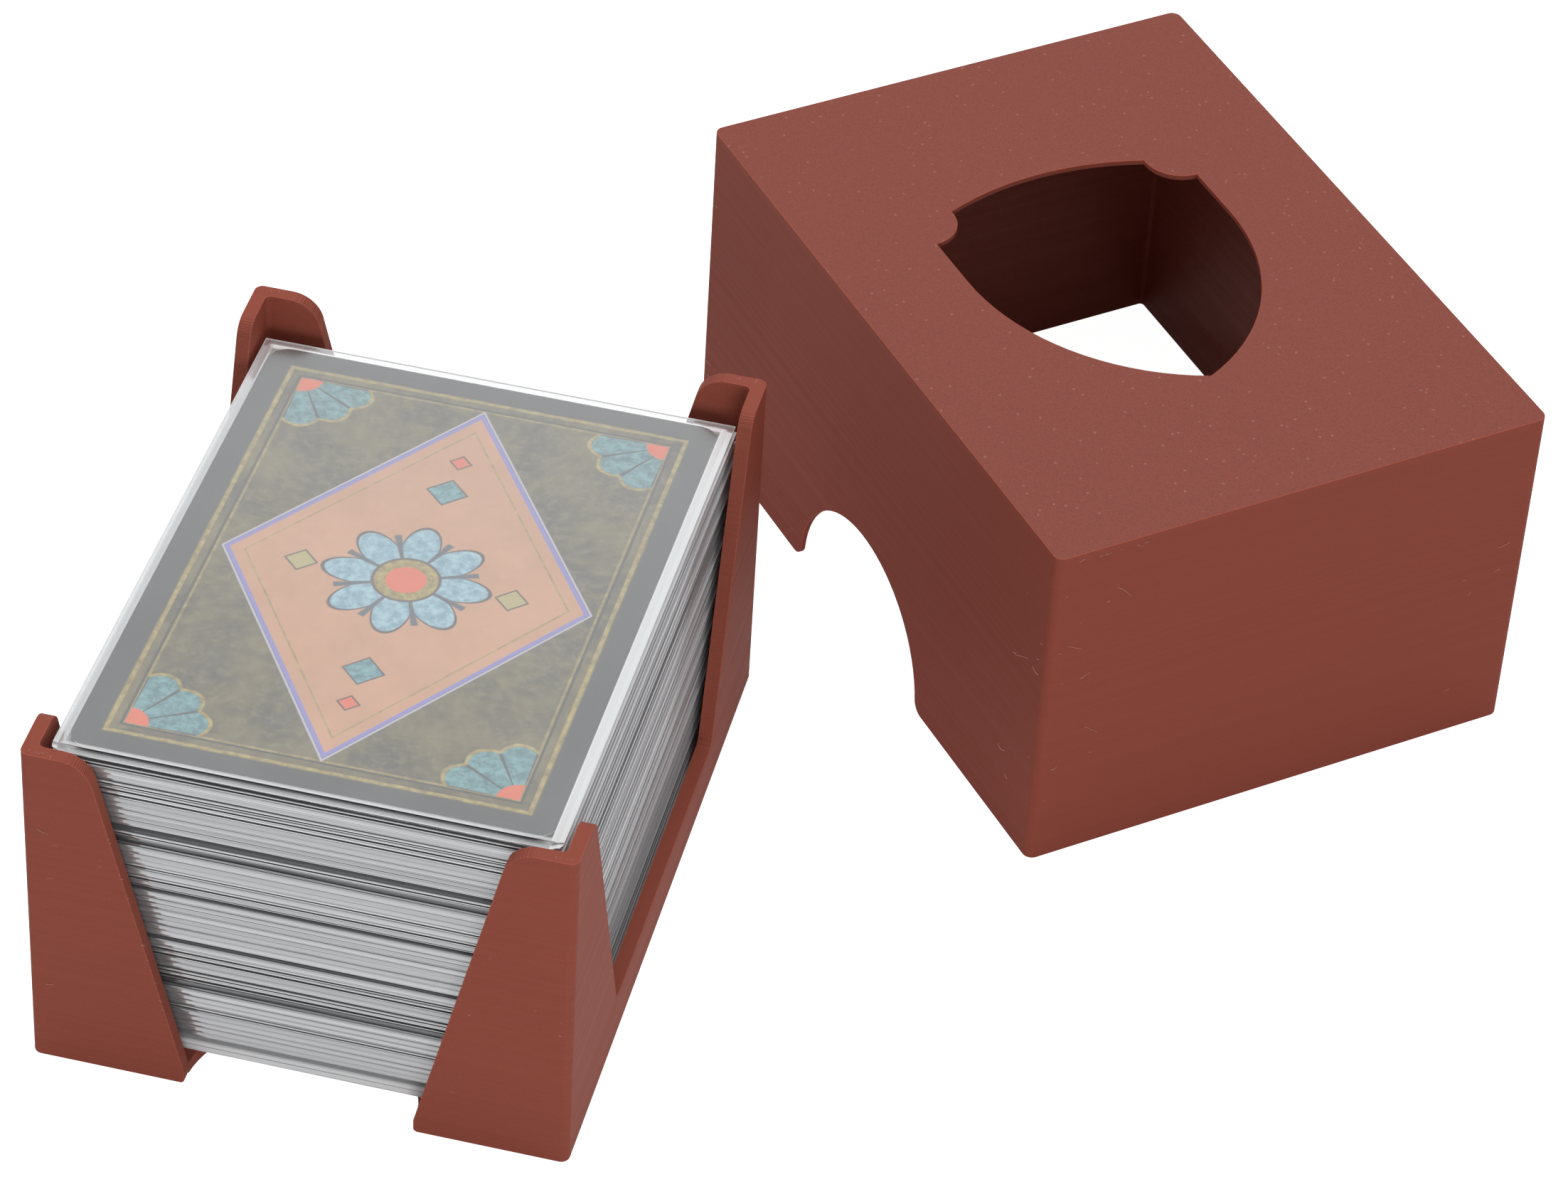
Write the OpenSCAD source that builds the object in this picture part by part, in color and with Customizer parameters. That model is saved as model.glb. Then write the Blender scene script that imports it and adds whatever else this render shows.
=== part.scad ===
/* [Cards] */
// Number of sleeved cards in the stack
cards = 54; // [20:1:56]
// Width of a card
card_w = 63; // [44:0.5:90]
// Length of a card
card_l = 88; // [62:0.5:130]
// Thickness of a card
card_t = 0.32; // [0.25:0.01:0.6]
// Radius of a card's corners
card_corner_r = 3; // [1:0.5:6]

/* [Sleeves] */
// Thickness of one film of a sleeve
film_t = 0.12; // [0.08:0.01:0.2]
// Width of the welded seam along a sleeve's closed edges
seam_w = 0.8; // [0.3:0.1:2]
// Gap between a card's edge and the seam
seam_gap = 0.7; // [0.2:0.1:2]
// How far the sleeve's open near end reaches past the card
mouth_l = 1.5; // [0.5:0.1:4]
// Room between a sleeve's films beyond its card's own thickness
puff = 0.29; // [0.1:0.01:0.5]
// Radius of a sleeve's corners
sleeve_corner_r = 0.8; // [0.4:0.1:2]

/* [Stack] */
// How much higher the top sleeve's near end lies than its far end
stack_lift = 3.9; // [0.5:0.1:6]
// How much further back the lowest sleeve lies than the top one
stack_lean = 1.5; // [0:0.1:2.5]
// How far a sleeve may lie to one side of the stack's middle
nudge_side = 0.1; // [0:0.05:0.3]
// How far a sleeve may lie forward of the rearmost one
nudge_forward = 0.4; // [0.1:0.05:0.5]
// How far a sleeve may be turned from straight, in degrees
nudge_turn = 0.1; // [0:0.05:0.3]

/* [Tray] */
// Thickness of the tray's walls and posts
wall = 2; // [1.2:0.1:4]
// Thickness of the tray's base plate
base_t = 2; // [1.2:0.1:4]
// Gap between the stack and each long wall
gap_side = 1; // [0.6:0.1:3]
// Gap between the stack and the near wall
gap_near = 1.1; // [0.8:0.1:3]
// Gap between the lowest sleeve and the far wall
gap_far = 1.4; // [0.5:0.1:5]
// How far the posts stand above the stack's near end
post_over = 0.65; // [0.3:0.05:5]
// Radius of the tray's upright outer corners
tray_corner_r = 1.2; // [0.5:0.1:5]
// Radius of the well's upright inner corners
well_corner_r = 0.8; // [0.5:0.1:2]

/* [Posts] */
// Radius of the finger notch in each short end of the base
notch_r = 15.5; // [10:0.5:20]
// Radius of the bottom corner of a post's foot beside the notch
foot_r = 0.6; // [0.5:0.1:3]
// Width of a post's top along the short end, up to its slanted edge
end_arm_top = 8.7; // [6:0.1:12]
// Radius of a post's top corner on the short end
end_arm_r = 4.5; // [1:0.5:7]
// Height of the low wall along the long side
low_wall_h = 7; // [4:0.5:12]
// Radius where a post meets the low wall
low_wall_r = 1.5; // [0.5:0.5:4]
// Width of a post along the long side, at the low wall
side_arm_foot = 24; // [16:0.5:28]
// Width of a post's top along the long side, up to its slanted edge
side_arm_top = 8.8; // [6:0.1:12]
// Radius of a post's top corner on the long side
side_arm_r = 3; // [1:0.5:6]

/* [Cover] */
// Gap between the tray and the cover's inside, on each side
cover_gap = 1; // [0.3:0.1:2]
// Thickness of the cover's walls
cover_wall = 0.8; // [0.6:0.1:2.4]
// Thickness of the cover's top
cover_top_t = 0.8; // [0.6:0.1:2.4]
// Gap between the posts and the underside of the cover's top
cover_top_gap = 0.2; // [0.1:0.1:3]
// Radius of the cover's upright inner corners
cover_inner_r = 0.6; // [0.3:0.1:3]
// Radius of the finger arch in each long side
arch_r = 17.8; // [8:0.2:24]
// Radius of the arch's feet
arch_foot_r = 2; // [0.5:0.5:4]

/* [Shield window] */
// Width of the window in the cover's top
shield_w = 41.6; // [34:0.2:48]
// Height of the window, from its point to its crown
shield_h = 49.2; // [44:0.2:60]
// Height of the window's lower part, where its sides curve in to the point
shield_taper = 31.3; // [26:0.1:34]
// How far the crown rises above the window's upper corners
shield_rise = 5.4; // [2:0.1:6]
// Radius of the round bite out of each upper corner
bite_r = 5.4; // [2:0.1:6]
// Height of the bite's centre above the upper corner
bite_up = 2.1; // [0:0.1:3]
// How far the window lies towards the cover's near end
shield_near = 0.7; // [0:0.1:5]

/* [Cover's place beside the tray] */
// Turn of the cover from the tray, in degrees
cover_turn = 40; // [0:5:90]
// Gap between the tray's far right corner and the cover's long side
stand_gap = 17.5; // [5:0.5:60]
// How far the cover is slid along its own length
stand_slide = 1.7; // [-20:0.1:20]

/* [Hidden] */
// Overrun that takes a cut clean through a face
over = 1;
// How far a rounding reaches past the slanted edge that it meets, so that they cross cleanly
tuck = 0.005;
// Turn between neighbouring sleeves that keeps their nudges from repeating
golden = 137.5;
sleeve_w = card_w + 2 * (seam_w + seam_gap);
sleeve_l = card_l + seam_w + seam_gap + mouth_l;
sleeve_t = card_t + 2 * film_t + puff;
// Tilt of the top sleeve, and the step from one sleeve up to the next
fan = asin(stack_lift / sleeve_l);
step = sleeve_t / cos(fan);
// Height of the top sleeve's near end above the place of its far end in a level stack
near_rise = (sleeve_l + stack_lean) * sin(fan);
well_w = sleeve_w + 2 * gap_side;
well_l = sleeve_l + stack_lean + gap_near + gap_far;
tray_w = well_w + 2 * wall;
tray_l = well_l + 2 * wall;
tray_h = base_t + cards * step + near_rise + post_over;
stack_far = well_l / 2 - gap_far;
// Half the notch's width at the end wall's inner face, where it is kept through the wall
notch_half = sqrt(pow(notch_r, 2) - pow(wall, 2));
inside_w = tray_w + 2 * cover_gap;
inside_l = tray_l + 2 * cover_gap;
cover_w = inside_w + 2 * cover_wall;
cover_l = inside_l + 2 * cover_wall;
cover_h = tray_h + cover_top_gap + cover_top_t;
print_red = "#96503f";
film_clear = "#d5d9dc";
card_grey = "#7c7d7f";
$fn = 64;

function card_name(k) = str(k < 10 ? "card_0" : "card_", k);

// Plate with upright round corners, standing on z = 0
module slab(w, l, h, r) {
    linear_extrude(h) {
        square([w - 2 * r, l], center = true);
        square([w, l - 2 * r], center = true);
        for (x = [-1, 1], y = [-1, 1])
            translate([x * (w / 2 - r), y * (l / 2 - r)]) circle(r);
    }
}

// What is cut off the top of a post whose free edge leans back, seen from its sharp corner
module post_corner(lean, r) {
    run = r / tan(45 + lean / 2);
    slant_end = [-run * sin(lean), -run * cos(lean)];
    flat_end = run - tuck;
    difference() {
        polygon([slant_end, slant_end - [over, 0], [-over, over], [flat_end, over], [flat_end, 0]]);
        translate([flat_end, -r]) circle(r);
    }
}

// Gap between two posts, from half_foot at the height from out to half_top at the posts' tops
module post_gap(half_foot, half_top, from, r) {
    polygon([[-half_foot, from], [half_foot, from], [half_top, tray_h], [half_top, tray_h + over],
        [-half_top, tray_h + over], [-half_top, tray_h]]);
    for (side = [0, 1])
        mirror([side, 0]) translate([half_top, tray_h])
            post_corner(atan((half_top - half_foot) / (tray_h - from)), r);
}

// Opening between the two posts of a short end, drawn in the plane of that wall
module end_opening() {
    post_gap(notch_half, tray_w / 2 - end_arm_top, base_t, end_arm_r);
}

// Opening between the two posts of a long side, down to its low wall and round at the bottom
module side_opening() {
    half_foot = tray_l / 2 - side_arm_foot;
    half_top = tray_l / 2 - side_arm_top;
    lean = atan((half_top - half_foot) / (tray_h - low_wall_h));
    run = low_wall_r / tan(45 + lean / 2);
    rise = run * cos(lean);
    half_flat = half_foot - run + tuck;
    post_gap(half_foot + run * sin(lean), half_top, low_wall_h + rise, side_arm_r);
    translate([-half_flat, low_wall_h]) square([2 * half_flat, rise]);
    for (x = [-half_flat, half_flat])
        translate([x, low_wall_h + low_wall_r]) circle(low_wall_r);
}

// Finger notch in the base: round about the wall's outer face, with straight sides through the wall
module notch() {
    intersection() {
        circle(notch_r);
        square([2 * notch_half, 4 * notch_r], center = true);
    }
}

// What is cut from the two feet beside a notch to round their bottom corners
module foot_rounding() {
    for (side = [0, 1])
        mirror([side, 0]) difference() {
            translate([-notch_half - foot_r, -over]) square([foot_r + over, foot_r + over]);
            translate([-notch_half - foot_r, foot_r]) circle(foot_r);
        }
}

// Open tray: base plate, four corner posts and two low side walls
module tray() {
    color(print_red) difference() {
        slab(tray_w, tray_l, tray_h, tray_corner_r);
        translate([0, 0, base_t]) slab(well_w, well_l, tray_h, well_corner_r);
        rotate([90, 0, 0]) linear_extrude(tray_l + 2 * over, center = true) end_opening();
        rotate([90, 0, 90]) linear_extrude(tray_w + 2 * over, center = true) side_opening();
        for (end = [-1, 1]) translate([0, end * tray_l / 2, 0]) {
            translate([0, 0, -over]) linear_extrude(base_t + 2 * over) notch();
            rotate([90, 0, 0]) linear_extrude(2 * wall, center = true) foot_rounding();
        }
    }
}

// Finger arch in a long side of the cover, with its foot corners rounded
module arch() {
    reach = sqrt(pow(arch_r + arch_foot_r, 2) - pow(arch_foot_r, 2));
    circle(arch_r);
    translate([-reach, -over]) square([2 * reach, over]);
    for (side = [0, 1])
        mirror([side, 0]) difference() {
            polygon([[0, 0], [reach, 0], [reach, arch_foot_r]]);
            translate([reach, arch_foot_r]) circle(arch_foot_r);
        }
}

// Shield outline: sides that curve in to a point, an arched crown and a round bite at each upper corner
module shield() {
    half = shield_w / 2;
    side_r = (pow(half, 2) + pow(shield_taper, 2)) / (2 * half);
    crown_r = (pow(half, 2) + pow(shield_rise, 2)) / (2 * shield_rise);
    crown_y = shield_h / 2 - shield_near;
    corner_y = crown_y - shield_rise;
    taper_y = crown_y - shield_h + shield_taper;
    difference() {
        union() {
            intersection() {
                translate([half - side_r, taper_y]) circle(side_r);
                translate([side_r - half, taper_y]) circle(side_r);
                translate([-half, taper_y - shield_taper]) square([shield_w, shield_taper]);
            }
            translate([-half, taper_y]) square([shield_w, corner_y - taper_y]);
            intersection() {
                translate([0, crown_y - crown_r]) circle(crown_r);
                translate([-half, corner_y]) square([shield_w, shield_rise]);
            }
        }
        for (x = [-half, half]) translate([x, corner_y + bite_up]) circle(bite_r);
    }
}

// Cover's own middle stands square to the tray's far right corner, turned about that corner
module beside_tray() {
    translate([tray_w / 2, tray_l / 2, 0]) rotate(cover_turn)
        translate([stand_gap + cover_w / 2, stand_slide, 0]) children();
}

// Thin five-sided cover that goes over the tray
module cover() {
    color(print_red) beside_tray() difference() {
        slab(cover_w, cover_l, cover_h, cover_inner_r + cover_wall);
        translate([0, 0, -over])
            slab(inside_w, inside_l, cover_h - cover_top_t + over, cover_inner_r);
        translate([0, 0, cover_h - cover_top_t - over])
            linear_extrude(cover_top_t + 2 * over) shield();
        rotate([90, 0, 90]) linear_extrude(cover_w + 2 * over, center = true) arch();
    }
}

// Puts what it is given at the place of sleeve k, counted from the bottom of the stack
module in_stack(k) {
    aside = nudge_side * sin(golden * k);
    forward = nudge_forward * (1 + cos(golden * k)) / 2;
    share = (k - 1) / (cards - 1);
    translate([0, stack_far, base_t + (k - 1) * step])
        rotate([-fan * share, 0, 0])
            translate([aside, -forward - stack_lean * share - sleeve_l / 2, 0])
                rotate(nudge_turn * sin(2 * golden * k)) children();
}

// Clear pouch that is open at its near end
module sleeve() {
    color(film_clear) difference() {
        slab(sleeve_w, sleeve_l, sleeve_t, sleeve_corner_r);
        translate([seam_w - sleeve_w / 2, -over - sleeve_l / 2, film_t])
            cube([sleeve_w - 2 * seam_w, sleeve_l - seam_w + over, sleeve_t - 2 * film_t]);
    }
}

// Card halfway between its sleeve's films
module card() {
    card_y = sleeve_l / 2 - seam_w - seam_gap - card_l / 2;
    color(card_grey) translate([0, card_y, film_t + puff / 2])
        slab(card_w, card_l, card_t, card_corner_r);
}

module top_sleeve() {
    in_stack(cards) sleeve();
}

module top_card() {
    in_stack(cards) card();
}

module sleeved_card(k) {
    in_stack(k) {
        sleeve();
        card();
    }
}

tray();
cover();
top_sleeve();
top_card();
for (k = [1 : cards - 1]) sleeved_card(k);
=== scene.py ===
import math
import random

import bmesh
import bpy
from mathutils import Matrix, Vector


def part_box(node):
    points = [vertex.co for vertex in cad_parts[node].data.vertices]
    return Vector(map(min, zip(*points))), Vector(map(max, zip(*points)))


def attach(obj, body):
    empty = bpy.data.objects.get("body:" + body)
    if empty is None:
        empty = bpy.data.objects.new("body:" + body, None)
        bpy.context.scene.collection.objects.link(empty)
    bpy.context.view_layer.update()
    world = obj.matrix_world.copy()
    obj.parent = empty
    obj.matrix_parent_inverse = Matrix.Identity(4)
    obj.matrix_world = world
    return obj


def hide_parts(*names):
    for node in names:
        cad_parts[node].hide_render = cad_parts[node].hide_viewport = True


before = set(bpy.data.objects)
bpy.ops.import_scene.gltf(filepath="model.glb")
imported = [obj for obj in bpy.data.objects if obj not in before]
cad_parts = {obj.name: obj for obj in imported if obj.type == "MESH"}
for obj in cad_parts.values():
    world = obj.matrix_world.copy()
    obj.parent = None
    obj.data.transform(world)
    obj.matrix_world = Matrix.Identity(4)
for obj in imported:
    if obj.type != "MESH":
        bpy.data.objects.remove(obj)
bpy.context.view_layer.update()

# The tray: base plate, four corner posts and two low walls, printed upright in one piece from brick-red
# filament. Level layer lines run round it, its edges are a little paler than its faces as a painted
# highlight, and the underside has the pebbled finish of the printer's bed.

MM = 0.001
layer_height = 0.2 * MM
edge_break = 0.11 * MM
brick_red = (0.323, 0.083, 0.055)
tray_w, tray_l, tray_h = 72 * MM, 99 * MM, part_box("tray")[1].z


def new_node(tree, kind, **settings):
    node = tree.nodes.new(kind)
    for name, value in settings.items():
        setattr(node, name, value)
    return node


def feed(tree, socket, value):
    """Links an output to the socket, or writes a plain value on it."""
    if isinstance(value, bpy.types.NodeSocket):
        tree.links.new(value, socket)
    else:
        socket.default_value = value


def calc(tree, operation, *values):
    node = new_node(tree, "ShaderNodeMath", operation=operation)
    for socket, value in zip(node.inputs, values):
        feed(tree, socket, value)
    return node.outputs[0]


def plus(tree, first, *others):
    return calc(tree, "ADD", first, plus(tree, *others)) if others else first


def minus(tree, first, second):
    return calc(tree, "SUBTRACT", first, second)


def times(tree, first, second):
    return calc(tree, "MULTIPLY", first, second)


def magnitude(tree, value):
    return calc(tree, "ABSOLUTE", value)


def distance_of(tree, x, y):
    return calc(tree, "SQRT", plus(tree, times(tree, x, x), times(tree, y, y)))


def weighted(tree, *pairs):
    """The sum of values, each times its share."""
    return plus(tree, *[times(tree, value, share) for value, share in pairs])


def ramp(tree, value, low, high, to_low=0.0, to_high=1.0):
    """Smooth step of value from low to high."""
    node = new_node(tree, "ShaderNodeMapRange", interpolation_type="SMOOTHSTEP")
    for name, given in zip(("Value", "From Min", "From Max", "To Min", "To Max"),
                           (value, low, high, to_low, to_high)):
        feed(tree, node.inputs[name], given)
    return node.outputs["Result"]


def mix(tree, share, below, above):
    node = new_node(tree, "ShaderNodeMix", data_type="RGBA")
    for socket, value in ((node.inputs[0], share), (node.inputs[6], below), (node.inputs[7], above)):
        if isinstance(value, tuple):
            value = (*value, 1.0)
        feed(tree, socket, value)
    return node.outputs[2]


def noise(tree, position, scale, detail=2.0, roughness=0.5):
    node = new_node(tree, "ShaderNodeTexNoise")
    feed(tree, node.inputs["Vector"], position)
    feed(tree, node.inputs["Scale"], scale)
    feed(tree, node.inputs["Detail"], detail)
    feed(tree, node.inputs["Roughness"], roughness)
    return node.outputs["Fac"]


def steps(tree, value):
    """A random value for each whole number that value passes."""
    node = new_node(tree, "ShaderNodeTexWhiteNoise", noise_dimensions="1D")
    feed(tree, node.inputs["W"], calc(tree, "FLOOR", value))
    return node.outputs["Value"]


def stretched(tree, position, stretch):
    node = new_node(tree, "ShaderNodeMapping")
    feed(tree, node.inputs["Vector"], position)
    feed(tree, node.inputs["Scale"], stretch)
    return node.outputs["Vector"]


def split(tree, vector):
    node = new_node(tree, "ShaderNodeSeparateXYZ")
    feed(tree, node.inputs[0], vector)
    return node.outputs


def start_group(name, inputs, outputs):
    group = bpy.data.node_groups.new(name, "ShaderNodeTree")
    for label, kind in inputs:
        group.interface.new_socket(name=label, in_out="INPUT", socket_type=kind)
    for label, kind in outputs:
        group.interface.new_socket(name=label, in_out="OUTPUT", socket_type=kind)
    return group, group.nodes.new("NodeGroupInput"), group.nodes.new("NodeGroupOutput")


def make_layer_lines():
    """Beads of filament: Tint changes from layer to layer and along each one, Height is round over a bead."""
    streak_scale = (40, 40, 5200)
    layer_share, streak_share, band_share = 0.35, 0.45, 0.2
    bands_per_layer = 0.14
    streak_height = 1.2

    group, given, result = start_group(
        "layer_lines",
        [("Position", "NodeSocketVector"), ("Layer", "NodeSocketFloat")],
        [("Tint", "NodeSocketFloat"), ("Height", "NodeSocketFloat")])
    position = given.outputs["Position"]
    count = calc(group, "DIVIDE", split(group, position)["Z"], given.outputs["Layer"])
    streak = noise(group, stretched(group, position, streak_scale), 1.0, 3.0)
    tint = weighted(group, (steps(group, count), layer_share), (streak, streak_share),
                    (steps(group, times(group, count, bands_per_layer)), band_share))
    swing = minus(group, times(group, calc(group, "FRACT", count), 2.0), 1.0)
    bead = minus(group, 1.0, times(group, swing, swing))
    feed(group, result.inputs["Tint"], tint)
    feed(group, result.inputs["Height"], plus(group, bead, times(group, streak, streak_height)))
    return group


def make_bed_grain():
    """The bed's finish: close pebbles, pits between them, and a small bright Speck on a few of them."""
    grit_per_pebble, grit_height = 1.7, 0.9
    specks_per_pebble, speck_chance = 0.5, 0.07
    speck_edge, speck_core = 0.34, 0.14
    pit_floor, pit_brim = 0.36, 0.62

    group, given, result = start_group(
        "bed_grain",
        [("Position", "NodeSocketVector"), ("Scale", "NodeSocketFloat")],
        [("Speck", "NodeSocketFloat"), ("Pit", "NodeSocketFloat"), ("Height", "NodeSocketFloat")])
    position, scale = given.outputs["Position"], given.outputs["Scale"]
    pebble = new_node(group, "ShaderNodeTexVoronoi", feature="SMOOTH_F1")
    feed(group, pebble.inputs["Vector"], position)
    feed(group, pebble.inputs["Scale"], scale)
    grit = noise(group, position, times(group, scale, grit_per_pebble), 3.0, 0.6)
    cells = new_node(group, "ShaderNodeTexVoronoi")
    feed(group, cells.inputs["Vector"], position)
    feed(group, cells.inputs["Scale"], times(group, scale, specks_per_pebble))
    pick = new_node(group, "ShaderNodeSeparateColor")
    feed(group, pick.inputs[0], cells.outputs["Color"])
    chosen = calc(group, "GREATER_THAN", pick.outputs[0], 1 - speck_chance)
    speck = times(group, chosen, ramp(group, cells.outputs["Distance"], speck_edge, speck_core))
    feed(group, result.inputs["Speck"], speck)
    feed(group, result.inputs["Pit"], ramp(group, grit, pit_floor, pit_brim))
    feed(group, result.inputs["Height"],
         minus(group, times(group, grit, grit_height), pebble.outputs["Distance"]))
    return group


layer_lines = make_layer_lines()
bed_grain = make_bed_grain()


def start_material(name):
    material = bpy.data.materials.new(name)
    material.use_nodes = True
    tree = material.node_tree
    surface = tree.nodes["Principled BSDF"]
    place = new_node(tree, "ShaderNodeTexCoord").outputs["Object"]
    return material, tree, surface, place


def place_group(tree, group, **values):
    node = new_node(tree, "ShaderNodeGroup", node_tree=group)
    for name, value in values.items():
        feed(tree, node.inputs[name], value)
    return node.outputs


def lift(tree, surface, height, distance, strength):
    bump = new_node(tree, "ShaderNodeBump")
    bump.inputs["Distance"].default_value = distance
    bump.inputs["Strength"].default_value = strength
    feed(tree, bump.inputs["Height"], height)
    feed(tree, surface.inputs["Normal"], bump.outputs["Normal"])


def shaded(colour, factor):
    return tuple(min(1.0, part * factor) for part in colour)


def upright(tree):
    """The size of the surface's own vertical direction: 0 on a wall and 1 on level ground."""
    return magnitude(tree, split(tree, new_node(tree, "ShaderNodeNewGeometry").outputs["True Normal"])["Z"])


def wall_print(name, colour, contrast):
    """Side walls of a print: faint level beads that turn into steps where the wall rounds over."""
    cloud_scale, matte_scale = 38.0, 3400.0
    line_share, cloud_share, matte_share = 0.35, 0.2, 0.45
    wall_slope, round_slope = 0.08, 0.6
    wall_height, step_height = 0.18, 3.4

    material, tree, surface, place = start_material(name)
    lines = place_group(tree, layer_lines, Position=place, Layer=layer_height)
    share = weighted(tree, (lines["Tint"], line_share), (noise(tree, place, cloud_scale, 3.0), cloud_share),
                     (noise(tree, place, matte_scale, 2.0, 0.6), matte_share))
    feed(tree, surface.inputs["Base Color"],
         mix(tree, share, shaded(colour, 1 - contrast), shaded(colour, 1 + contrast)))
    feed(tree, surface.inputs["Roughness"], ramp(tree, lines["Tint"], 0.2, 0.8, 0.65, 0.55))
    surface.inputs["Specular IOR Level"].default_value = 0.08
    slope = ramp(tree, upright(tree), wall_slope, round_slope, wall_height, step_height)
    lift(tree, surface, times(tree, lines["Height"], slope), 0.035 * MM, 0.8)
    return material


def bed_print(name, colour):
    """The face that was printed against the bed: pebbled, with small bright specks and painted shade in its
    pits.
    """
    pebble_scale, cloud_scale = 2600.0, 30.0
    dull, fresh, pit_shade = 0.88, 1.02, 0.75
    speck_red, speck_share = (0.55, 0.27, 0.22), 0.4

    material, tree, surface, place = start_material(name)
    grain = place_group(tree, bed_grain, Position=place, Scale=pebble_scale)
    colours = mix(tree, noise(tree, place, cloud_scale, 3.0), shaded(colour, dull), shaded(colour, fresh))
    # Painted shade: the colour darkens in the pits between the pebbles.
    colours = mix(tree, grain["Pit"], shaded(colour, pit_shade), colours)
    colours = mix(tree, times(tree, grain["Speck"], speck_share), colours, speck_red)
    feed(tree, surface.inputs["Base Color"], colours)
    feed(tree, surface.inputs["Roughness"], ramp(tree, grain["Speck"], 0.0, 1.0, 0.5, 0.22))
    surface.inputs["Specular IOR Level"].default_value = 0.2
    lift(tree, surface, grain["Height"], 0.08 * MM, 0.5)
    return material


def place_mesh(name, bm, materials):
    """Turns bm into an object of the scene, with its materials in the order of their indices."""
    mesh = bpy.data.meshes.new(name)
    bm.to_mesh(mesh)
    bm.free()
    for material in materials:
        mesh.materials.append(material)
    thing = bpy.data.objects.new(name, mesh)
    bpy.context.scene.collection.objects.link(thing)
    return thing


def printed_shell(name, node, body, bed_height, wall, bed, edge):
    """A copy of a printed CAD node with its outer edges broken. The broken edges get a paler print, a
    painted highlight along them. Its face at bed_height has the bed's finish. Edges that meet in a
    needle-thin corner stay as they are."""
    slack, level = 0.01 * MM, 0.99
    flat_turn, sharp_turn, needle_turn = math.radians(0.3), math.radians(32), math.radians(25)

    bm = bmesh.new()
    bm.from_mesh(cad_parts[node].data)
    bmesh.ops.remove_doubles(bm, verts=bm.verts, dist=slack)
    bmesh.ops.dissolve_limit(bm, angle_limit=flat_turn, verts=bm.verts, edges=bm.edges)
    for face in bm.faces:
        on_bed = abs(face.calc_center_median().z - bed_height) < slack
        face.material_index = 1 if on_bed and abs(face.normal.z) > level else 0
    sharp = {e for e in bm.edges if e.is_manifold and e.calc_face_angle() > sharp_turn}
    needles = [{loop.edge, loop.link_loop_prev.edge} for face in bm.faces for loop in face.loops
               if loop.calc_angle() < needle_turn]
    for pair in needles:
        if pair <= sharp:
            sharp -= pair
    broken = bmesh.ops.bevel(bm, geom=[e for e in bm.edges if e in sharp and e.is_convex], offset=edge_break,
                             offset_type="OFFSET", segments=2, profile=0.5, affect="EDGES", material=-1,
                             clamp_overlap=False)
    # Material 2 is the paler edge print: a painted highlight along the broken edges.
    for face in broken["faces"]:
        face.material_index = 2
    for face in bm.faces:
        face.smooth = True
    shell = place_mesh(name, bm, (wall, bed, edge))
    if "custom_normal" in shell.data.attributes:
        shell.data.attributes.remove(shell.data.attributes["custom_normal"])
    even = shell.modifiers.new("even_faces", "WEIGHTED_NORMAL")
    even.weight = 100
    even.keep_sharp = True
    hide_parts(node)
    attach(shell, body)
    return shell


tray = printed_shell("printed_tray", "tray", "tray", 0.0,
                     wall_print("tray_wall_print", brick_red, 0.14),
                     bed_print("tray_bed_print", brick_red),
                     wall_print("tray_edge_highlight_print", shaded(brick_red, 1.3), 0.3))

# Hairs and burrs: the nozzle drew fine threads of filament off the tray's slanted edges, rims and corners.
# They are paler than the walls, less than a tenth of a millimetre thick and mostly under 2 mm long.

hair_red = (0.66, 0.36, 0.3)
hair_half = 0.035 * MM
hair_sink = 0.02 * MM


def add_hair(bm, root, way, outward, length, dice):
    """One tapering thread with its root on the surface, bent over along the face."""
    joints, taper, bend_size, settle = 5, 0.16, 0.3, 0.1
    tilt = Vector((0, 0, dice.uniform(-0.35, 0.35)))
    heading = (way * dice.uniform(0.7, 1.0) + outward * dice.uniform(0.0, 0.3) + tilt).normalized()
    point = root.copy()
    rings = []
    for count in range(joints):
        width = hair_half * (1 - taper * count)
        side = heading.cross(outward).normalized() * width
        rings.append([bm.verts.new(point + side), bm.verts.new(point - side),
                      bm.verts.new(point + outward * width * 1.5)])
        bend = Vector((dice.uniform(-1, 1), dice.uniform(-1, 1), dice.uniform(-1, 1))) * bend_size
        heading = (heading + bend - outward * settle).normalized()
        point = point + heading * (length / (joints - 1))
    for first, second in zip(rings, rings[1:]):
        edges = [bm.edges.get((a, b)) or bm.edges.new((a, b)) for a, b in zip(first, first[1:] + first[:1])]
        edges += [bm.edges.new((a, b)) for a, b in zip(second, second[1:] + second[:1])]
        bmesh.ops.bridge_loops(bm, edges=edges)
    bm.faces.new(rings[0])
    bm.faces.new(rings[-1])


def add_hairs(name, body, rows, seed):
    """Hairs beside straight edges. Each row is (start, end, way, outward, spread, how many, longest): the
    hairs point along way, lie on the face that outward leaves, and are scattered over spread beside the
    edge."""
    dice = random.Random(seed)
    bm = bmesh.new()
    for start, end, way, outward, spread, many, longest in rows:
        for _ in range(many):
            root = start.lerp(end, dice.uniform(0.03, 0.97)) + way * spread * dice.random() ** 2
            add_hair(bm, root, way, outward.normalized(), longest * (0.2 + 0.8 * dice.random() ** 2), dice)
    bmesh.ops.recalc_face_normals(bm, faces=bm.faces)
    material, tree, surface, place = start_material(name + "_thread")
    feed(tree, surface.inputs["Base Color"],
         mix(tree, noise(tree, place, 900.0), shaded(hair_red, 0.7), shaded(hair_red, 1.25)))
    surface.inputs["Roughness"].default_value = 0.4
    hairs = place_mesh(name, bm, [material])
    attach(hairs, body)
    return hairs


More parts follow.
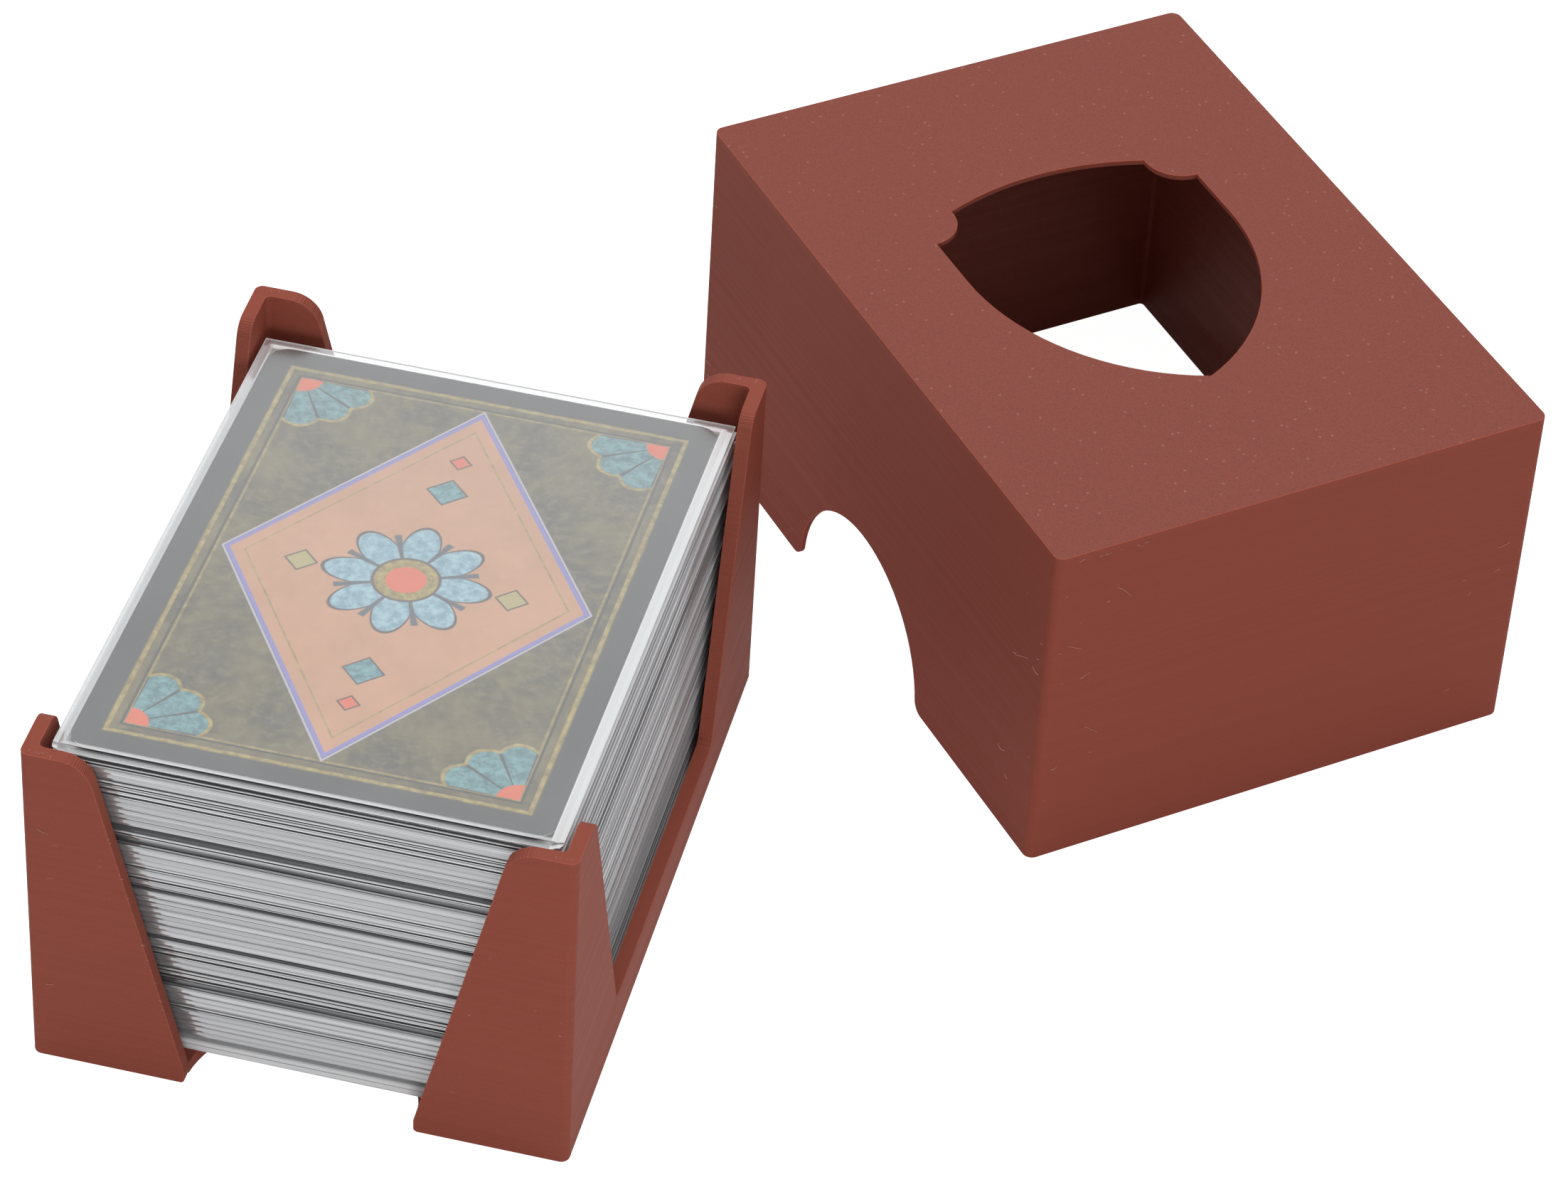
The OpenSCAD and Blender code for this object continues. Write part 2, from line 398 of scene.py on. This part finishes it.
def tray_hair_rows():
    """The slanted edges and the rims of the end posts, and the faces beside the outer corners."""
    foot_x, foot_z, foot_inset = 16.3 * MM, 5 * MM, 4 * MM
    head_x, head_drop, head_inset = 25.8 * MM, 7 * MM, 2 * MM
    corner_inset, corner_margin = 1.4 * MM, 4 * MM
    rim_outer, rim_inner, rim_inset = 35.2 * MM, 31.5 * MM, 1 * MM
    rows = []
    for side in (-1, 1):
        for end in (-1, 1):
            face = end * (tray_l / 2 - hair_sink)
            inward, outward, up = Vector((-side, 0, 0)), Vector((0, end, 0)), Vector((0, 0, 1))
            foot = Vector((side * foot_x, face, foot_z))
            head = Vector((side * head_x, face, tray_h - head_drop))
            rows.append((foot, head, inward, outward, 0.0, 16, 0.7 * MM))
            rows.append((foot - foot_inset * inward, head - head_inset * inward, inward, outward,
                         1 * MM, 3, 1.8 * MM))
            low, high = (Vector((side * (tray_w / 2 - corner_inset), face, z))
                         for z in (corner_margin, tray_h - corner_margin))
            rows.append((low, high, inward, outward, 4 * MM, 5, 2.2 * MM))
            outer, inner = (Vector((side * x, face - end * rim_inset, tray_h - hair_sink))
                            for x in (rim_outer, rim_inner))
            rows.append((outer, inner, outward, up, 0.3 * MM, 10, 0.9 * MM))
    return rows


tray_hairs = add_hairs("tray_hairs", "tray", tray_hair_rows(), 11)

# The sleeved cards below the top one: a coated card in a soft clear pouch that is welded along three edges
# and open towards the tray's near end. The films bulge over the card, close to a thin seam and part a
# little at the mouth. The lower ones are packed so densely that their films look silver grey.

cards = 54
card_w, card_l, card_t, card_corner = 63 * MM, 88 * MM, 0.32 * MM, 3 * MM
film_t, seam_w, seam_gap, mouth_l, puff = 0.12 * MM, 0.8 * MM, 0.7 * MM, 1.5 * MM, 0.29 * MM
sleeve_w = card_w + 2 * (seam_w + seam_gap)
sleeve_l = card_l + seam_w + seam_gap + mouth_l
sleeve_t = card_t + 2 * film_t + puff
card_middle = sleeve_l / 2 - seam_w - seam_gap - card_l / 2
stack_lift, stack_lean, base_t, stack_far = 3.9 * MM, 1.5 * MM, 2 * MM, 46.1 * MM
nudge_side, nudge_forward, nudge_turn, golden = 0.1 * MM, 0.4 * MM, math.radians(0.1), math.radians(137.5)
fan = math.asin(stack_lift / sleeve_l)
step_up = sleeve_t / math.cos(fan)
silver = (0.5, 0.51, 0.525)
border_ink = (0.035, 0.036, 0.038)
# The black core is painted shade: it darkens the gap under the top sleeve, where the second card's cut edge
# shows.
core_grey, shade_black_core, core_white = (0.6, 0.6, 0.6), (0.03, 0.03, 0.03), (0.9, 0.9, 0.9)

film_columns = [0, 0.12, 0.7, 1.0, 1.35, 1.5, 1.65]             # mm from a side edge
film_rows = [0, 0.12, 0.3, 0.5, 0.8, 1.35, 1.5, 1.65, 3.0]      # mm from the mouth or the far edge
film_wave = 0.02 * MM
nose = 0.35 * MM                        # how far a rounded lip reaches into the sleeve
weld_zone, rim_zone = 1.57 * MM, 0.05 * MM
run_scale = 10                          # of the streaks' map, per metre along the film
top_film_short, second_card_slid = 1.0 * MM, 1.3 * MM
laid_back_share, parted_below, laid_back_by = 0.1, 0.3, 0.5 * MM
laid_back_low, clear_below = 3, 2       # sleeves counted from the bottom
even_from, pale_from = cards - 10, cards - 11


def forward_by(k):
    return nudge_forward * (1 + math.cos(golden * k)) / 2


def in_stack(k):
    """Where sleeve k lies, counted from the bottom, as the CAD model places it."""
    share = (k - 1) / (cards - 1)
    forward = forward_by(k) + stack_lean * share
    return (Matrix.Translation((0, stack_far, base_t + (k - 1) * step_up))
            @ Matrix.Rotation(-fan * share, 4, "X")
            @ Matrix.Translation((nudge_side * math.sin(golden * k), -forward - sleeve_l / 2, 0))
            @ Matrix.Rotation(nudge_turn * math.sin(2 * golden * k), 4, "Z"))


def smooth_step(value):
    value = max(0.0, min(1.0, value))
    return value * value * (3 - 2 * value)


def stops(half, margins, inner):
    """Coordinates across a sleeve: close together at both edges, even between them."""
    edge = [half - margin * MM for margin in margins]
    span = edge[-1]
    middle = [-span + 2 * span * i / (inner + 1) for i in range(1, inner + 1)]
    return [-value for value in edge] + middle + edge[::-1]


def add_film(bm, face_up, dice, pinch, droop, curl, reach):
    """One film as a thin closed sheet. The upper one bulges up and the lower one hangs down. At the mouth
    they come together by pinch, droop moves them down towards the sleeve below, curl rounds the upper lip
    over the opening, and reach makes the lip that much longer."""
    corner_zone, corner_cut = 1.2 * MM, 0.25 * MM
    weld_end, weld_rise = 0.65 * MM, 0.7 * MM
    lip_bottom = 1.6 * film_t
    once_round = 6.3

    across, along = stops(sleeve_w / 2, film_columns, 7), stops(sleeve_l / 2, film_rows, 7)
    grid = bmesh.ops.create_grid(bm, x_segments=len(across) - 1, y_segments=len(along) - 1, size=1.0)
    waves = [(dice.uniform(0.5, 3.2), dice.uniform(0, once_round), dice.uniform(0.2, 1.0)) for _ in range(4)]
    for v in grid["verts"]:
        x = across[round((v.co.x + 1) / 2 * (len(across) - 1))]
        y = along[round((v.co.y + 1) / 2 * (len(along) - 1))]
        seam = min(sleeve_w / 2 - abs(x), sleeve_l / 2 - y)
        mouth = y + sleeve_l / 2
        corner = smooth_step(1 - seam / corner_zone) * smooth_step(1 - mouth / corner_zone)
        half = film_t / 2 + (sleeve_t / 2 - film_t) * smooth_step((seam - weld_end) / weld_rise)
        open_end = 1 - smooth_step(mouth / mouth_l)
        half -= (half - film_t / 2) * pinch * open_end
        ripple = sum(size * math.sin(rate * x / sleeve_w * once_round + start) for rate, start, size in waves)
        edge = max(open_end, 1 - smooth_step(seam / mouth_l))
        z = sleeve_t / 2 + (half if face_up else -half) + ripple * film_wave * edge
        z -= droop * (sleeve_t / 2 - film_t) * open_end
        if face_up and mouth < nose:
            z -= (z - lip_bottom) * curl * (1 - math.sqrt(1 - (1 - mouth / nose) ** 2))
        z = max(film_t / 2, min(sleeve_t - film_t / 2, z))
        v.co = Vector((x - math.copysign(corner_cut, x) * corner,
                       y + corner_cut * corner - reach * open_end, z))
    faces = dict.fromkeys(face for v in grid["verts"] for face in v.link_faces)
    bmesh.ops.solidify(bm, geom=list(faces), thickness=film_t)


def add_card(bm, slid=0.0):
    """A flat card with round corners, from one outline that is pushed up. It can be slid to the mouth."""
    parts = 6
    straight_x, straight_y = card_w / 2 - card_corner, card_l / 2 - card_corner
    middle_y = card_middle - slid
    outline = []
    for quarter, (sx, sy) in enumerate(((1, 1), (-1, 1), (-1, -1), (1, -1))):
        for part in range(parts + 1):
            turn = math.radians(90 * quarter + 90 / parts * part)
            outline.append(bm.verts.new((sx * straight_x + card_corner * math.cos(turn),
                                         sy * straight_y + card_corner * math.sin(turn) + middle_y,
                                         (sleeve_t - card_t) / 2)))
    face = bm.faces.new(outline)
    pushed = bmesh.ops.extrude_face_region(bm, geom=[face])
    top = [item for item in pushed["geom"] if isinstance(item, bmesh.types.BMVert)]
    bmesh.ops.translate(bm, verts=top, vec=(0, 0, card_t))
    face.normal_flip()


def carried(tree, name):
    """A value that each corner of the mesh carries."""
    return new_node(tree, "ShaderNodeAttribute", attribute_name=name).outputs["Fac"]


def make_packed_film():
    """Films of the lower sleeves: silver from the many layers, with fine lines that run along each sleeve."""
    # The dark end is reached by lips that lie back: painted shade in their gap.
    bright, dark = 1.45, 0.2
    seam_white, rim_white, seam_share = (0.78, 0.79, 0.81), (0.97, 0.98, 0.99), 0.85

    material, tree, surface, _ = start_material("packed_film")
    run = new_node(tree, "ShaderNodeUVMap", uv_map="film_run").outputs["UV"]
    streak = noise(tree, stretched(tree, run, (0.4, 1.6, 1.0)), 1.0)
    share = weighted(tree, (carried(tree, "shade"), 0.7), (streak, 0.3))
    # Partly painted light: whiter seams brighten the stack's sides, partly as their bare welded film.
    seam = times(tree, carried(tree, "bare"), seam_share)
    film = mix(tree, seam, mix(tree, share, shaded(silver, bright), shaded(silver, dark)), seam_white)
    # rim_white is a painted highlight on each film's cut rim.
    feed(tree, surface.inputs["Base Color"], mix(tree, carried(tree, "rim"), film, rim_white))
    feed(tree, surface.inputs["Metallic"], ramp(tree, seam, 0.0, seam_share, 0.6, 0.05))
    feed(tree, surface.inputs["Roughness"], ramp(tree, streak, 0.3, 0.7, 0.1, 0.2))
    return material


def make_clear_film():
    """Clear film: it mirrors its surroundings faintly, more towards the far end as a painted reflection, and
    looks white where no card lies behind it and on its rim, a painted highlight.
    """
    clear, milky = (0.95, 0.96, 0.97), (0.96, 0.97, 0.98)
    near_haze_and_reflection, far_haze_and_reflection, milky_haze = 0.13, 0.185, 0.88

    material, tree, surface, place = start_material("clear_film")
    white = calc(tree, "MAXIMUM", carried(tree, "bare"), carried(tree, "rim"))
    # Painted reflection: the veil grows from the near end to the far end.
    haze_and_reflection = ramp(tree, split(tree, place)["Y"], -0.5 * card_l, 0.5 * card_l, near_haze_and_reflection, far_haze_and_reflection)
    feed(tree, surface.inputs["Base Color"], mix(tree, white, clear, milky))
    feed(tree, surface.inputs["Metallic"], ramp(tree, white, 0.0, 1.0, 0.8, 0.0))
    feed(tree, surface.inputs["Roughness"], ramp(tree, noise(tree, place, 90.0), 0.3, 0.7, 0.12, 0.2))
    feed(tree, surface.inputs["Alpha"], ramp(tree, white, 0.0, 1.0, haze_and_reflection, milky_haze))
    return material


def make_card_board(name, core):
    """A card's dark printed faces and its core, which shows along the cut edge."""
    material, tree, surface, place = start_material(name)
    fibre = noise(tree, stretched(tree, place, (300, 300, 5000)), 1.0, 3.0)
    flat = ramp(tree, upright(tree), 0.85, 0.95)
    feed(tree, surface.inputs["Base Color"],
         mix(tree, flat, mix(tree, fibre, shaded(core, 0.8), shaded(core, 1.1)), border_ink))
    surface.inputs["Roughness"].default_value = 0.4
    return material


packed_film, clear_film = make_packed_film(), make_clear_film()
card_board = make_card_board("card_board", core_grey)
gap_shade_board = make_card_board("gap_shade_board", shade_black_core)


def lip_shape(k, dice):
    """Pinch, droop, curl and reach of a sleeve's mouth, and how white its rim is, a painted highlight. Most
    lips are rounded over and flush with each other, and a few lie back and leave a gap, darkened further by
    painted shade in their film. The top two mouths are open and bend away from each other."""
    if k == cards:
        return 0.3, -0.5, 0.0, 0.0, 1.0
    if k == cards - 1:
        return 0.3, 0.6, 0.0, 0.0, 1.0
    reach = 0.7 * (nudge_forward - forward_by(k))
    kind = dice.random()
    if (kind < laid_back_share and k < even_from) or k == laid_back_low:
        return 0.9, dice.choice((-1.0, 1.0)), 0.0, -laid_back_by, 0.2
    if kind < parted_below:
        return dice.uniform(0.0, 0.5), dice.uniform(0.0, 0.4), 0.3, reach, 0.5
    return (dice.uniform(0.0, 0.15), dice.uniform(-0.1, 0.1), dice.uniform(0.8, 1.0), reach,
            dice.uniform(0.0, 0.3))


def film_tone(k, reach, dice):
    """How dark a packed film is: in slow swells, paler towards the top, and darkest where it lies back, as
    painted shade in its gap.
    """
    middle, swell, spread = 0.45, 0.08 * math.sin(0.5 * k), dice.uniform(-0.1, 0.1)
    paler = max(0.0, (k - pale_from) / (cards - pale_from)) * 0.2
    return 1.0 if reach < 0 else middle + swell + spread - paler


def seam_looks(k, co, packed, whiteness, side_white):
    """How white the film of sleeve k is along its seams, and on their rim. On the packed films the whiter
    seams are partly their bare welded film and partly painted light on the stack's sides, and the rim's
    white is a painted highlight. The whitest margin is the top sleeve's right one."""
    if k == cards:
        return 0.2 if sleeve_l / 2 - co.y < weld_zone else 0.45 if co.x < 0 else 1.0, whiteness
    return (0.4 + 0.6 * side_white, side_white) if packed else (1.0, whiteness)


def sleeved_card(k, name, film, board):
    """One sleeve with its card, or without one where board is None. Its corners carry how dark the film
    is (shade), how white it is where it is bare of a card (bare), and how white its cut rim is as a
    painted highlight (rim)."""
    dice = random.Random(4100 + k)
    bm = bmesh.new()
    pinch, droop, curl, reach, whiteness = lip_shape(k, dice)
    shorter = top_film_short if k == cards else 0.0
    add_film(bm, True, dice, pinch, droop, curl, reach - shorter)
    add_film(bm, False, dice, pinch, droop, curl, reach)
    tone = film_tone(k, reach, dice)
    side_white = dice.random() ** 2
    mouth_bare = 1.0 if k <= clear_below else 0.45 if k == cards else 0.1
    shade, bare, rim = (bm.verts.layers.float.new(layer) for layer in ("shade", "bare", "rim"))
    for v in bm.verts:
        seam, mouth = min(sleeve_w / 2 - abs(v.co.x), sleeve_l / 2 - v.co.y), v.co.y + sleeve_l / 2
        to_lip = mouth + reach - (shorter if v.co.z > sleeve_t / 2 else 0.0)
        seam_bare, seam_rim = seam_looks(k, v.co, film is packed_film, whiteness, side_white)
        v[shade] = tone
        v[bare] = seam_bare if seam < weld_zone else mouth_bare if mouth < weld_zone else 0.0
        # The rim's white is a painted highlight.
        v[rim] = seam_rim if seam < rim_zone else whiteness if to_lip < rim_zone else 0.0
    run = bm.loops.layers.uv.new("film_run")
    for face in bm.faces:
        for loop in face.loops:
            at = loop.vert.co
            loop[run].uv = ((at.x + at.y) * run_scale, k + at.z / sleeve_t)
    film_faces = set(bm.faces)
    if board:
        add_card(bm, second_card_slid if board is gap_shade_board else 0.0)
        for face in bm.faces:
            face.material_index = 0 if face in film_faces else 1
    bmesh.ops.transform(bm, matrix=in_stack(k), verts=bm.verts)
    return place_mesh(name, bm, [film, board] if board else [film])


# The second card from the top gets the black core, painted shade in the gap under the top sleeve.
for k in range(1, cards):
    film = clear_film if k <= clear_below or k == cards - 1 else packed_film
    piece = sleeved_card(k, f"sleeved_card_{k:02d}", film, gap_shade_board if k == cards - 1 else card_board)
    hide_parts(f"card_{k:02d}")
    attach(piece, "deck")

# The top sleeve: the same clear pouch, a little milky, with the card below showing through its upper film
# and a clear margin round it. Its upper film ends a little before the lower one at the mouth.

top_sleeve = sleeved_card(cards, "top_pouch", clear_film, None)
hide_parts("top_sleeve")
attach(top_sleeve, "top")

# The top card: coated board with a dark border and a plain decorative back. A lozenge panel with a
# rosette lies on a mottled olive field inside a gold frame, and a fan fills each corner.

field_w, field_l = 2.8, 4.05            # half sizes in centimetres, as all sizes of the print
fan_inset, fan_reach, fan_eye, fan_ribs = 0.24, 0.92, 0.3, 6.0
lozenge_w, lozenge_l = 2.42, 3.7
petal_short, petal_swell, petal_pairs = 0.62, 0.48, 4.0
coral, ochre = (0.92, 0.17, 0.06), (0.58, 0.5, 0.2)
violet, pale_violet = (0.3, 0.28, 0.72), (0.62, 0.6, 0.72)


def line(tree, distance, at, half, soft=0.012):
    """1 where distance is within half of at."""
    return ramp(tree, magnitude(tree, minus(tree, distance, at)), half + soft, half)


def inside(tree, distance, at, soft=0.012):
    """1 where distance is below at."""
    return ramp(tree, minus(tree, distance, at), soft, -soft)


def draw_field(tree, inset, blot, fleck, fine, gold):
    """The mottled olive field with the gold frame's lines on it."""
    field = mix(tree, ramp(tree, blot, 0.36, 0.66), (0.05, 0.038, 0.014), (0.2, 0.16, 0.055))
    field = mix(tree, times(tree, ramp(tree, fleck, 0.42, 0.7), 0.55), field, (0.3, 0.25, 0.11))
    field = mix(tree, times(tree, ramp(tree, fine, 0.5, 0.8), 0.35), field, (0.03, 0.02, 0.01))
    drawn = mix(tree, line(tree, inset, 0.05, 0.024), field, gold)
    drawn = mix(tree, line(tree, inset, 0.2, 0.012), drawn, (0.02, 0.014, 0.006))
    return mix(tree, times(tree, line(tree, inset, fan_inset, 0.012), 0.7), drawn, gold)


def draw_fans(tree, drawn, ax, ay, inset, teal, gold):
    """A teal fan in each corner of the frame, with dark ribs, a scalloped gold edge and a coral eye."""
    corner_x = minus(tree, field_w - fan_inset, ax)
    corner_y = minus(tree, field_l - fan_inset, ay)
    reach = distance_of(tree, corner_x, corner_y)
    turn = times(tree, calc(tree, "ARCTAN2", corner_y, corner_x), fan_ribs)
    wave = magnitude(tree, calc(tree, "SINE", turn))
    scallop = plus(tree, fan_reach, times(tree, wave, 0.12))
    within = calc(tree, "GREATER_THAN", inset, fan_inset)
    fan_mask = times(tree, within, inside(tree, reach, scallop))
    drawn = mix(tree, times(tree, fan_mask, 0.92), drawn, teal)
    drawn = mix(tree, times(tree, fan_mask, ramp(tree, wave, 0.22, 0.1)), drawn, (0.03, 0.05, 0.05))
    edge = times(tree, within, line(tree, minus(tree, reach, scallop), 0.03, 0.022))
    drawn = mix(tree, edge, drawn, gold)
    return mix(tree, times(tree, within, inside(tree, reach, fan_eye)), drawn, coral)


def draw_lozenge(tree, drawn, ax, ay, blot, fleck, gold):
    """The clay-coloured lozenge panel with its violet outline and a thin gold line inside it."""
    lozenge = plus(tree, calc(tree, "DIVIDE", ax, lozenge_w), calc(tree, "DIVIDE", ay, lozenge_l))
    clay = mix(tree, ramp(tree, blot, 0.3, 0.7), (0.7, 0.37, 0.2), (0.8, 0.43, 0.25))
    clay = mix(tree, times(tree, ramp(tree, fleck, 0.5, 0.75), 0.4), clay, (0.85, 0.48, 0.3))
    drawn = mix(tree, inside(tree, lozenge, 1.0), drawn, clay)
    drawn = mix(tree, line(tree, lozenge, 1.0, 0.012, 0.005), drawn, violet)
    drawn = mix(tree, line(tree, lozenge, 1.026, 0.006, 0.004), drawn, pale_violet)
    return mix(tree, times(tree, line(tree, lozenge, 0.9, 0.005, 0.004), 0.75), drawn, gold)


def draw_rosette(tree, drawn, x, y, fleck, gold):
    """Eight pale blue petals with a dark outline round a gold and coral eye."""
    radius = distance_of(tree, x, y)
    turn = calc(tree, "ARCTAN2", y, x)
    petal = magnitude(tree, calc(tree, "COSINE", times(tree, turn, petal_pairs)))
    bloom = plus(tree, petal_short, times(tree, petal, petal_swell))
    sky = mix(tree, ramp(tree, fleck, 0.35, 0.65), (0.2, 0.42, 0.55), (0.5, 0.76, 0.85))
    drawn = mix(tree, inside(tree, radius, plus(tree, bloom, 0.05)), drawn, (0.07, 0.035, 0.03))
    drawn = mix(tree, inside(tree, radius, bloom), drawn, sky)
    clefts = times(tree, inside(tree, radius, 0.95), ramp(tree, petal, 0.3, 0.12))
    drawn = mix(tree, clefts, drawn, (0.07, 0.1, 0.13))
    for ring, paint in ((0.46, (0.09, 0.05, 0.03)), (0.42, gold), (0.27, coral)):
        drawn = mix(tree, inside(tree, radius, ring), drawn, paint)
    return drawn


def draw_marks(tree, drawn, ax, ay, teal):
    """Small lozenges on the panel's two axes, each with a dark outline."""
    for mark_x, mark_y, size, paint in ((0.0, 1.95, 0.26, teal), (1.42, 0.0, 0.2, ochre),
                                        (0.0, 2.62, 0.13, coral)):
        mark = plus(tree, magnitude(tree, minus(tree, ax, mark_x)), magnitude(tree, minus(tree, ay, mark_y)))
        drawn = mix(tree, inside(tree, mark, size + 0.035), drawn, (0.06, 0.03, 0.02))
        drawn = mix(tree, inside(tree, mark, size), drawn, paint)
    return drawn


def make_card_back():
    material, tree, surface, _ = start_material("card_back")
    print_map = new_node(tree, "ShaderNodeUVMap", uv_map="card_print").outputs["UV"]
    parts = split(tree, print_map)
    x, y = parts["X"], parts["Y"]
    ax, ay = magnitude(tree, x), magnitude(tree, y)
    inset = calc(tree, "MINIMUM", minus(tree, field_w, ax), minus(tree, field_l, ay))
    blot = noise(tree, print_map, 0.9, 6.0, 0.62)
    fleck = noise(tree, print_map, 7.0, 5.0, 0.7)
    fine = noise(tree, print_map, 26.0, 3.0, 0.6)
    gold = mix(tree, ramp(tree, fleck, 0.3, 0.7), (0.26, 0.18, 0.03), (0.62, 0.5, 0.15))
    teal = mix(tree, ramp(tree, fleck, 0.35, 0.65), (0.05, 0.22, 0.26), (0.22, 0.52, 0.56))

    drawn = draw_field(tree, inset, blot, fleck, fine, gold)
    drawn = draw_fans(tree, drawn, ax, ay, inset, teal, gold)
    drawn = draw_lozenge(tree, drawn, ax, ay, blot, fleck, gold)
    drawn = draw_rosette(tree, drawn, x, y, fleck, gold)
    drawn = draw_marks(tree, drawn, ax, ay, teal)
    border = mix(tree, ramp(tree, fine, 0.3, 0.7), (0.022, 0.023, 0.025), (0.034, 0.035, 0.037))
    feed(tree, surface.inputs["Base Color"],
         mix(tree, calc(tree, "GREATER_THAN", inset, 0.0), border, drawn))
    feed(tree, surface.inputs["Roughness"], ramp(tree, fine, 0.3, 0.7, 0.32, 0.42))
    return material


def make_top_card():
    bm = bmesh.new()
    add_card(bm)
    corners = [e for e in bm.edges if e.is_manifold and e.calc_face_angle() > 1.2]
    bmesh.ops.bevel(bm, geom=corners, offset=0.05 * MM, offset_type="OFFSET", segments=1, profile=0.5,
                    affect="EDGES", material=-1)
    print_map = bm.loops.layers.uv.new("card_print")
    for face in bm.faces:
        face.material_index = 0 if face.normal.z > 0.5 else 1
        for loop in face.loops:
            loop[print_map].uv = (loop.vert.co.x * 100, (loop.vert.co.y - card_middle) * 100)
    bmesh.ops.transform(bm, matrix=in_stack(cards), verts=bm.verts)
    card = place_mesh("printed_card", bm, [make_card_back(), make_card_board("cut_board", core_white)])
    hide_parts("top_card")
    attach(card, "top")


make_top_card()

# The cover: a thin five-sided shell with a shield window and two finger arches, printed upside down from
# the same filament, so its top has the bed's pebbled finish and its walls have level layer lines. It stands
# beside the tray, turned about the tray's far right corner, and has threads beside its corners too.

cover_red = (0.303, 0.073, 0.049)
cover_w, cover_l, cover_h = 75.6 * MM, 102.6 * MM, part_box("cover")[1].z
cover_turn, cover_gap, cover_shift = math.radians(40), 17.5 * MM, 1.7 * MM
cover_place = (Matrix.Translation((tray_w / 2, tray_l / 2, 0)) @ Matrix.Rotation(cover_turn, 4, "Z")
               @ Matrix.Translation((cover_gap + cover_w / 2, cover_shift, 0)))
cover = printed_shell("printed_cover", "cover", "cover", cover_h,
                      wall_print("cover_wall_print", cover_red, 0.09),
                      bed_print("cover_bed_print", cover_red),
                      wall_print("cover_edge_highlight_print", shaded(cover_red, 1.35), 0.25))


def cover_hair_rows():
    """Both faces beside each upright corner, and the near face just below the top."""
    many_near, many_else, corner_inset = 13, 6, 1.5 * MM
    turned = cover_place.to_3x3()
    rows = []
    for sx in (-1, 1):
        for sy in (-1, 1):
            many = many_near if sx == sy == -1 else many_else
            end_face = Vector((sx * (cover_w / 2 - corner_inset), sy * (cover_l / 2 - hair_sink), 0))
            side_face = Vector((sx * (cover_w / 2 - hair_sink), sy * (cover_l / 2 - corner_inset), 0))
            for start, way, outward in ((end_face, Vector((-sx, 0, 0)), Vector((0, sy, 0))),
                                        (side_face, Vector((0, -sy, 0)), Vector((sx, 0, 0)))):
                low, high = (cover_place @ (start + Vector((0, 0, z))) for z in (4 * MM, cover_h - 3 * MM))
                rows.append((low, high, turned @ way, turned @ outward, 9 * MM, many, 3.2 * MM))
    front = [cover_place @ Vector((x, -cover_l / 2 + hair_sink, cover_h - 1.2 * MM))
             for x in (-cover_w / 2 + 2 * MM, -cover_w / 2 + 13 * MM)]
    rows.append((*front, turned @ Vector((1, 0, 0)), turned @ Vector((0, -1, 0)), 1 * MM, 6, 3 * MM))
    return rows


cover_hairs = add_hairs("cover_hairs", "cover", cover_hair_rows(), 23)

# The studio: a white sweep under soft, even light from above and in front, and a long lens that looks
# down on the box from the near end. The sweep shows white and keeps a faint shadow.

aim = (0.04, 0.03, 0.03)
floor_grey, floor_seen, floor_mirrored = (0.8, 0.8, 0.8, 1), 0.98, 0.5
world_all, world_seen, world_mirrored = 0.3, 0.7, 0.6
camera_at = (0.1581, -0.5554, 0.5467)
camera_right = Vector((0.9713, 0.2328, 0.0492))
camera_up = Vector((-0.1884, 0.6263, 0.7565))
camera_lens, camera_sensor = 134.5, 36.0


def glow(tree, seen, mirrored):
    """A strength that only the camera's own rays see, and one for the rays that film and gloss send on."""
    path = new_node(tree, "ShaderNodeLightPath").outputs
    sent_on = calc(tree, "MAXIMUM", path["Is Glossy Ray"], path["Is Transmission Ray"])
    return weighted(tree, (path["Is Camera Ray"], seen), (sent_on, mirrored))


def make_floor():
    bm = bmesh.new()
    bmesh.ops.create_grid(bm, x_segments=1, y_segments=1, size=2.5)
    bmesh.ops.translate(bm, verts=bm.verts, vec=(0, 0, -0.05 * MM))
    material = bpy.data.materials.new("floor_white")
    material.use_nodes = True
    tree = material.node_tree
    surface = tree.nodes["Principled BSDF"]
    surface.inputs["Base Color"].default_value = floor_grey
    surface.inputs["Roughness"].default_value = 0.9
    surface.inputs["Specular IOR Level"].default_value = 0.0
    surface.inputs["Emission Color"].default_value = (1, 1, 1, 1)
    feed(tree, surface.inputs["Emission Strength"], glow(tree, floor_seen, floor_mirrored))
    place_mesh("floor", bm, [material])


def make_world():
    world = bpy.data.worlds.new("studio")
    bpy.context.scene.world = world
    world.use_nodes = True
    tree = world.node_tree
    background = tree.nodes["Background"]
    background.inputs["Color"].default_value = (1, 1, 1, 1)
    feed(tree, background.inputs["Strength"], plus(tree, world_all, glow(tree, world_seen, world_mirrored)))


def add_softbox(name, at, size, power):
    data = bpy.data.lights.new(name, "AREA")
    data.shape, data.size, data.energy = "SQUARE", size, power
    lamp = bpy.data.objects.new(name, data)
    lamp.location = at
    lamp.rotation_euler = (Vector(aim) - Vector(at)).to_track_quat("-Z", "Y").to_euler()
    bpy.context.scene.collection.objects.link(lamp)


make_floor()
make_world()
add_softbox("front_softbox", (0.381, -0.942, 0.212), 0.35, 2.7)
add_softbox("top_softbox", (0.0, 0.3, 1.1), 0.9, 8.2)

camera_data = bpy.data.cameras.new("studio_camera")
camera_data.lens, camera_data.sensor_width = camera_lens, camera_sensor
camera_data.clip_start, camera_data.clip_end = 0.01, 20.0
camera = bpy.data.objects.new("studio_camera", camera_data)
facing = Matrix((camera_right, camera_up, camera_right.cross(camera_up))).transposed().to_4x4()
camera.matrix_world = Matrix.Translation(camera_at) @ facing
bpy.context.scene.collection.objects.link(camera)
bpy.context.scene.camera = camera
bpy.context.scene.view_settings.view_transform = "Standard"
